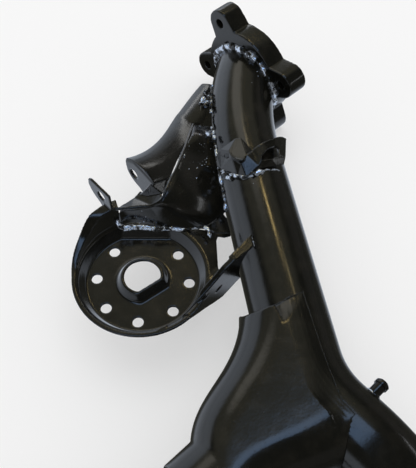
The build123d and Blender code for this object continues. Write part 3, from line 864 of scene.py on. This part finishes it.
# Corners of the line bracket, folded from one sheet
CLIP = {
    "wing_a": (149.7, 48.1, 35.8), "wing_b": (166.2, 42.8, 44.6), "wing_c": (169.3, 38.5, 46.0),
    "wing_d": (156, 17, 48.3), "wing_e": (149, 14.6, 48.4), "wing_f": (145.3, 16.7, 48.2),
    "wing_g": (145.2, 27.2, 45.7), "wing_h": (148.6, 35.2, 45), "fin": (167.4, 20.1, 41.9),
    "wall_a": (146.3, 49.8, 29.9), "wall_b": (142.9, 46, 17), "wall_c": (141.3, 37.7, 20.7),
    "wall_d": (138.3, 11.2, 34.5), "wall_e": (146.7, 15.5, 44.3), "nose_a": (151.5, 15.1, 46.8),
    "nose_b": (156.7, 1, 44.5), "nose_c": (141.2, 1.3, 38.4), "rib_a": (164.5, 17.1, 46.4),
    "rib_b": (168.7, 17.3, 48.4), "rib_c": (178.5, 16.6, 49.4), "rib_d": (195.1, 15.3, 44.8),
    "rib_e": (209, 17, 36.1), "rib_f": (213.7, 15.3, 30), "rib_g": (190.4, -5.1, 36.7),
    "rib_h": (183.6, -9.5, 34.3), "window_a": (163.2, 3.3, 46.3), "window_b": (167.5, 6.6, 47),
    "window_c": (177.3, 9, 47.6), "window_d": (187.6, 8.1, 44.9), "window_e": (189.9, 3.7, 42.3),
    "window_f": (183.7, -1.8, 41.9), "window_g": (173.4, -1.4, 44.7), "band_a": (175.7, -7.5, 37.6),
    "band_b": (159.4, -1.7, 41.8),
}
CLIP_FACETS = [
    ("wing_a", "wing_b", "wing_h"), ("wing_b", "wing_c", "wing_d", "wing_g", "wing_h"),
    ("wing_d", "wing_e", "wing_f", "wing_g"), ("wing_c", "fin", "wing_d"),
    ("wall_a", "wing_a", "wing_h", "wall_c", "wall_b"), ("wing_h", "wing_g", "wall_d", "wall_c"),
    ("wing_g", "wing_f", "wall_e", "wall_d"), ("wall_e", "nose_a", "nose_b", "nose_c", "wall_d"),
    ("wing_d", "rib_a", "window_a", "nose_b", "nose_a"), ("wing_d", "fin", "rib_a"),
    ("rib_a", "rib_b", "window_b", "window_a"), ("rib_b", "rib_c", "window_c", "window_b"),
    ("rib_c", "rib_d", "window_d", "window_c"), ("rib_d", "rib_e", "rib_f", "window_e", "window_d"),
    ("rib_f", "rib_g", "window_f", "window_e"), ("rib_g", "rib_h", "band_a", "window_g", "window_f"),
    ("band_a", "band_b", "window_a", "window_g"), ("nose_b", "window_a", "band_b"),
    ("nose_b", "band_b", "nose_c"),
]
CLIP_HOLE = (146.5, 36, 38.8)
CLIP_HOLE_RADIUS = 2.7
# Thicknesses of the folded sheets and radii of their rolled edges
FLANGE_SHEET, CLIP_SHEET = 2.4, 2.2
RIM_RADIUS, CLIP_EDGE_RADIUS = 1.7, 1.3
# Facet size in millimetres and rounds of smoothing of both
FLANGE_SOFT, CLIP_SOFT = (0.6, 4), (0.5, 4)


class AXLE_OT_folded_sheets(bpy.types.Operator):
    """Add the line brackets, and the flanges that join the damper forks to the gussets, partly a dark sheet
    over the forks' shaded faces as painted shade
    """

    bl_idname = "axle.folded_sheets"
    bl_label = "Folded flanges and line brackets"

    def execute(self, context):
        # The flange, with its strip of painted shade over the fork ear's shaded face
        facets = [[FLANGE[corner] for corner in facet] for facet in FLANGE_FACETS]
        sheet = plates("flange", facets, FLANGE_SHEET)
        sheet = joined([sheet, rolled_edge("gusset_rim", RIM, RIM_RADIUS)], "fork_flange")
        both_sides(softened(sheet, *FLANGE_SOFT), "fork_flange", black_paint(), "black_paint")
        facets = [[CLIP[corner] for corner in facet] for facet in CLIP_FACETS]
        sheet = plates("clip", facets, CLIP_SHEET)
        edges = [
            rolled_edge("wing_edge", [CLIP["wing_" + k] for k in "ahgfe"], CLIP_EDGE_RADIUS),
            rolled_edge("rib_edge", [CLIP["rib_" + k] for k in "abcdef"], CLIP_EDGE_RADIUS),
        ]
        sheet = softened(joined([sheet, *edges], "line_bracket_sheet"), *CLIP_SOFT)
        nothing_selected()
        middle = arm(*CLIP_HOLE)
        bpy.ops.mesh.primitive_cylinder_add(
            vertices=32, radius=CLIP_HOLE_RADIUS * MM, depth=12 * MM, location=middle
        )
        punch = bpy.context.object
        punch.rotation_euler = (middle - Vector(CAMERA_PLACE)).to_track_quat("Z", "Y").to_euler()
        hole = sheet.modifiers.new("hole", "BOOLEAN")
        hole.operation = "DIFFERENCE"
        hole.object = punch
        take(sheet)
        bpy.ops.object.modifier_apply(modifier=hole.name)
        bpy.data.objects.remove(punch)
        both_sides(sheet, "line_bracket_sheet", black_paint(), "black_paint", "line_bracket")
        return {"FINISHED"}


# Edge of the shell on the tube: along the crest, then down the rear flank
SHELL_EDGE = [
    (31.7, -225, 42), (31.7, -218, 42), (84.5, -128.6, 42), (66, -121, 41), (52.9, -115.9, 36), (51, -95, 0),
]
# How far from that edge the shell thins, how high above the tube it may lie there, and what is left at the edge
FEATHER, FEATHER_HEIGHT, FEATHER_SHARE = 26.0, 7.0, 0.14


def feather_onto_tube(shell, tube, sign):
    """Thin the shell towards its welded edge, so that it runs smoothly onto the tube."""
    edge = [mirrored_place(arm(*p), sign) for p in SHELL_EDGE]
    finder = skin(tube)
    for v in shell.data.vertices:
        away = min(to_run(v.co, a, b) for a, b in zip(edge, edge[1:])) / (FEATHER * MM)
        if away >= 1:
            continue
        place, normal, _, _ = finder.find_nearest(v.co)
        height = (v.co - place).dot(normal)
        if 0 < height < FEATHER_HEIGHT * MM:
            share = FEATHER_SHARE + (1 - FEATHER_SHARE) * away * away * (3 - 2 * away)
            v.co = place + (v.co - place) * share


def to_run(point, a, b):
    """The distance of a point from a straight run."""
    along = (point - a).dot(b - a) / (b - a).length_squared
    return (point - a.lerp(b, min(1.0, max(0.0, along)))).length


class AXLE_OT_beam(bpy.types.Operator):
    """Add the cross beam and the shells at its ends"""

    bl_idname = "axle.beam"
    bl_label = "Cross beam"

    def execute(self, context):
        painted("cross_beam")
        for side, sign in SIDES:
            shell = pressed(side, "beam_end")
            feather_onto_tube(shell, "painted_" + side + "_trailing_arm", sign)
        return {"FINISHED"}


class AXLE_OT_stub_plates(bpy.types.Operator):
    """Add the stub axle plates"""

    bl_idname = "axle.stub_plates"
    bl_label = "Stub axle plates"

    def execute(self, context):
        for side, _ in SIDES:
            pressed(side, "stub_axle_plate")
        return {"FINISHED"}


class AXLE_OT_bushes(bpy.types.Operator):
    """Add the bushes and their eyes"""

    bl_idname = "axle.bushes"
    bl_label = "Bushes"

    def execute(self, context):
        steel = plain_material(
            "turned steel", (0.45, 0.44, 0.42), roughness=0.35, metallic=1.0, scale=800.0, bump=0.2
        )
        rubber = plain_material(
            "bush rubber", (0.022, 0.022, 0.021), roughness=0.62, metallic=0.0, scale=500.0, bump=0.4
        )
        for side, _ in SIDES:
            painted(side + "_bush_eye", edge=0.4)
            for part, finish, slot, edge in (
                ("bush_shell", steel, "bare_steel", 0.3),
                ("bush_rubber", rubber, "rubber", 1.2),
                ("bush_sleeve", steel, "bare_steel", 0.3),
            ):
                node = side + "_" + part
                piece = rounded_edges(merged_copy(node, "moulded_" + node), edge)
                finish_piece(piece, finish, slot, node)
        return {"FINISHED"}


# Stage values, in metres
CAMERA_PLACE = (0.2054, -0.2237, 0.6475)
CAMERA_LOOK = (0.391, 0.419, -0.8192)
CAMERA_UP = (0.559, 0.599, 0.5736)
# The width of its sensor in millimetres, and the nearest and the farthest that it sees
SENSOR_WIDTH, CLIP_START, CLIP_END = 36.0, 0.01, 60.0
# Softboxes give the shadow on the floor: name, place, target, size, power, colour
SOFTBOXES = [
    ("overhead_softbox", (0.6, 0.4, 2.6), (0.35, 0.0, 0.0), (2.2, 1.6), 12.0, (1.0, 1.0, 1.0)),
]
# Lamps that show only in the gloss: name, direction, width and height in degrees, brightness, colour
HALL_LAMPS = [
    ("hall_lamp_a", (0.467, 0.371, 0.80), (4.0, 4.0), 15.0, (1.0, 0.74, 0.30)),
    ("hall_lamp_b", (0.40, 0.52, 0.75), (2.5, 2.5), 8.0, (1.0, 0.80, 0.42)),
    ("hall_lamp_c", (0.52, 0.22, 0.82), (3.0, 3.0), 7.0, (1.0, 0.78, 0.38)),
    ("hall_strip_back", (0.72, 0.62, 0.30), (44.0, 3.0), 3.0, (1.0, 0.99, 0.96)),
    ("hall_strip_right", (0.75, -0.60, 0.30), (44.0, 3.0), 3.0, (0.94, 0.97, 1.0)),
    ("hall_strip_front", (-0.60, -0.75, 0.30), (44.0, 3.0), 1.5, (0.94, 0.97, 1.0)),
]
# How far away these lamps are, and the place on the left arm that they point at
HALL, LAMP_TARGET = 5.0, (40, 0, 0)
SKYLIGHT, SKYLIGHT_SIZE, SKYLIGHT_COLOUR = 2.6, (5.0, 1.3), (0.40, 0.62, 1.0)
FLOOR_SIZE, FLOOR_GAP = 14.0, 0.0005
# The floor's own glow, which makes it as pale as the backdrop
FLOOR_GLOW = 0.428
# The hall's floor in the gloss: the level direction across the left arm, where daylight starts on its left,
# and where a strip of daylight begins, fades and ends on its right
ACROSS_ARM = (-0.73, 0.68, 0.0)
FLOOR_DAYLIGHT = -0.235
FLOOR_WINDOW = (0.36, 0.42, 0.56)
# How softly the daylight starts on the left and on the right
LEFT_FADE, RIGHT_FADE = 0.04, 0.02
DARK_FLOOR, DAYLIT_FLOOR = (0.07, 0.07, 0.06, 1), (0.72, 0.79, 0.90, 1)
# The hall in the gloss: walls, bright side, roof, the roof overhead and a window in it
DIM_WALL, BRIGHT_WALL = (0.12, 0.115, 0.105, 1), (0.86, 0.95, 1.08, 1)
DIM_ROOF, PALE_ROOF, ROOF_WINDOW = (0.045, 0.045, 0.036, 1), (0.30, 0.29, 0.22, 1), (1.25, 1.2, 1.05, 1)
# Where they lie: a direction, and the cosines round it where the patch starts and is full
BRIGHT_SIDE, ROOF = ((-0.60, 0.80, 0.0), -0.15, 0.45), ((0.0, 0.0, 1.0), 0.32, 0.48)
OVERHEAD, WINDOW = ((0.33, 0.55, 0.77), 0.74, 0.88), ((0.31, 0.68, 0.66), 0.968, 0.993)
BACKDROP = (0.87, 0.87, 0.87, 1)
# Pieces that the gloss leaves out
BESIDE_TUBE = (
    "painted_{}_spring_pan", "painted_{}_pan_gusset", "painted_{}_damper_bracket", "{}_fork_flange",
)


def hide_from_gloss():
    """The sheets beside the tubes aren't mirrored in them, so the flanks show the bright side."""
    for side, _ in SIDES:
        for name in BESIDE_TUBE:
            bpy.data.objects[name.format(side)].visible_glossy = False


class AXLE_OT_stage(bpy.types.Operator):
    """Add the floor, lamps, world and camera"""

    bl_idname = "axle.stage"
    bl_label = "Stage"

    def execute(self, context):
        stage = context.scene.axle_stage
        nothing_selected()
        bpy.ops.mesh.primitive_plane_add(size=FLOOR_SIZE, location=(0, 0, -FLOOR_GAP))
        floor = context.object
        floor.name = "studio_floor"
        bpy.ops.object.transform_apply(location=True, rotation=True, scale=True)
        floor.data.materials.append(floor_material(tuple(stage.floor)))
        add_world()
        hide_from_gloss()
        for name, place, target, size, power, colour in SOFTBOXES:
            lamp = add_lamp(name, Vector(place), Vector(target), size, power * stage.level, colour)
            lamp.visible_glossy = False
        target = arm(*LAMP_TARGET)
        for name, direction, spans, brightness, colour in HALL_LAMPS:
            place = target + Vector(direction).normalized() * HALL
            size = [2 * HALL * math.tan(math.radians(span) / 2) for span in spans]
            lamp = add_lamp(name, place, target, size, brightness * math.pi * size[0] * size[1], colour)
            lamp.visible_diffuse = False
        power = SKYLIGHT * math.pi * SKYLIGHT_SIZE[0] * SKYLIGHT_SIZE[1]
        middle = Vector((0, 0, 0))
        skylight = add_lamp("skylight", Vector((0, 0, HALL)), middle, SKYLIGHT_SIZE, power, SKYLIGHT_COLOUR)
        skylight.visible_diffuse = False
        bpy.ops.object.camera_add(location=CAMERA_PLACE)
        camera = context.object
        camera.name = "studio_camera"
        back = -Vector(CAMERA_LOOK).normalized()
        up = Vector(CAMERA_UP)
        right = up.cross(back).normalized()
        up = back.cross(right)
        turn = Matrix((right, up, back)).transposed().to_4x4()
        camera.matrix_world = Matrix.Translation(Vector(CAMERA_PLACE)) @ turn
        camera.data.lens = stage.lens
        camera.data.sensor_width = SENSOR_WIDTH
        camera.data.sensor_fit = "AUTO"
        camera.data.clip_start = CLIP_START
        camera.data.clip_end = CLIP_END
        context.scene.camera = camera
        context.scene.view_settings.view_transform = "Standard"
        return {"FINISHED"}


def add_lamp(name, place, target, size, power, colour):
    """A rectangular lamp that points at its target."""
    bpy.ops.object.light_add(type="AREA", location=place)
    lamp = bpy.context.object
    lamp.name = name
    lamp.data.shape = "RECTANGLE"
    lamp.data.size, lamp.data.size_y = size
    lamp.data.energy = power
    lamp.data.color = colour
    lamp.rotation_euler = (target - place).to_track_quat("-Z", "Y").to_euler()
    return lamp


def seen_or_mirrored(tree, seen, mirrored, out):
    """One shader for the eye and another one for the gloss."""
    path = tree.nodes.new("ShaderNodeLightPath")
    choose = tree.nodes.new("ShaderNodeMixShader")
    tree.links.new(path.outputs["Is Glossy Ray"], choose.inputs[0])
    tree.links.new(seen.outputs[0], choose.inputs[1])
    tree.links.new(mirrored.outputs[0], choose.inputs[2])
    tree.links.new(choose.outputs[0], out.inputs["Surface"])


def distance_along(tree, places, direction):
    """How far the places lie along a direction."""
    place = tree.nodes.new("ShaderNodeTexCoord")
    dot = tree.nodes.new("ShaderNodeVectorMath")
    dot.operation = "DOT_PRODUCT"
    dot.inputs[1].default_value = direction
    tree.links.new(place.outputs[places], dot.inputs[0])
    return dot.outputs["Value"]


def floor_material(colour):
    """A plain pale floor: pale to the eye, and it keeps soft shadows."""
    material = bpy.data.materials.new("pale floor")
    material.use_nodes = True
    tree = material.node_tree
    tree.nodes.clear()
    out = tree.nodes.new("ShaderNodeOutputMaterial")
    diffuse = tree.nodes.new("ShaderNodeBsdfDiffuse")
    diffuse.inputs["Color"].default_value = (*colour, 1)
    glow = tree.nodes.new("ShaderNodeEmission")
    glow.inputs["Color"].default_value = (1, 1, 1, 1)
    glow.inputs["Strength"].default_value = FLOOR_GLOW
    both = tree.nodes.new("ShaderNodeAddShader")
    tree.links.new(diffuse.outputs[0], both.inputs[0])
    tree.links.new(glow.outputs[0], both.inputs[1])
    # In the gloss the floor is a hall's floor, with daylight on one side of the arm
    across = distance_along(tree, "Object", ACROSS_ARM)
    begins, fades, ends = FLOOR_WINDOW
    left = ramp(tree, across, FLOOR_DAYLIGHT, FLOOR_DAYLIGHT + LEFT_FADE)
    near = ramp(tree, across, -ends, -fades)
    rightward = math_node(tree, "MULTIPLY", across, -1.0)
    strip = math_node(tree, "MULTIPLY", near, ramp(tree, rightward, begins - RIGHT_FADE, begins))
    daylight = math_node(tree, "MAXIMUM", left, strip)
    hall = tree.nodes.new("ShaderNodeEmission")
    tree.links.new(mixed(tree, daylight, DARK_FLOOR, DAYLIT_FLOOR), hall.inputs["Color"])
    seen_or_mirrored(tree, both, hall, out)
    return material


def toward(tree, direction, low, high):
    """A mask round a direction of the sky: 0 where the cosine is low, 1 where it is high."""
    return ramp(tree, distance_along(tree, "Generated", Vector(direction).normalized()), low, high)


def add_world():
    """Even light, a pale backdrop to the eye, and a dim hall with one bright side in the gloss."""
    world = bpy.data.worlds.new("studio")
    bpy.context.scene.world = world
    world.use_nodes = True
    tree = world.node_tree
    tree.nodes.clear()
    out = tree.nodes.new("ShaderNodeOutputWorld")
    bright_side = toward(tree, *BRIGHT_SIDE)
    low = mixed(tree, bright_side, DIM_WALL, BRIGHT_WALL)
    overhead = toward(tree, *OVERHEAD)
    high = mixed(tree, overhead, DIM_ROOF, PALE_ROOF)
    window = toward(tree, *WINDOW)
    high = mixed(tree, window, high, ROOF_WINDOW)
    hall = mixed(tree, toward(tree, *ROOF), low, high)
    gloss = tree.nodes.new("ShaderNodeBackground")
    tree.links.new(hall, gloss.inputs["Color"])
    even = tree.nodes.new("ShaderNodeBackground")
    even.inputs["Color"].default_value = BACKDROP
    seen_or_mirrored(tree, even, gloss, out)


OPERATORS = (
    AXLE_OT_trailing_arms,
    AXLE_OT_spring_pans,
    AXLE_OT_sheets,
    AXLE_OT_folded_sheets,
    AXLE_OT_beam,
    AXLE_OT_stub_plates,
    AXLE_OT_bushes,
    AXLE_OT_welds,
    AXLE_OT_spatter,
    AXLE_OT_stage,
)


class AXLE_PT_panel(bpy.types.Panel):
    """The axle's pieces in the sidebar"""

    bl_idname = "AXLE_PT_panel"
    bl_label = "Rear axle"
    bl_space_type = "VIEW_3D"
    bl_region_type = "UI"
    bl_category = "Rear axle"

    def draw(self, context):
        for group in (context.scene.axle_paint, context.scene.axle_stage):
            box = self.layout.box()
            for prop in group.__annotations__:
                box.prop(group, prop)
        for operator in OPERATORS:
            self.layout.operator(operator.bl_idname)


CLASSES = (AxlePaint, AxleStage, *OPERATORS, AXLE_PT_panel)


def register():
    for cls in CLASSES:
        bpy.utils.register_class(cls)
    bpy.types.Scene.axle_paint = bpy.props.PointerProperty(type=AxlePaint)
    bpy.types.Scene.axle_stage = bpy.props.PointerProperty(type=AxleStage)


def unregister():
    del bpy.types.Scene.axle_stage
    del bpy.types.Scene.axle_paint
    for cls in reversed(CLASSES):
        bpy.utils.unregister_class(cls)


def main():
    """Build every piece."""
    register()
    nothing_selected()
    for operator in OPERATORS:
        category, name = operator.bl_idname.split(".")
        getattr(getattr(bpy.ops, category), name)()
    nothing_selected()


if __name__ == "__main__":
    main()
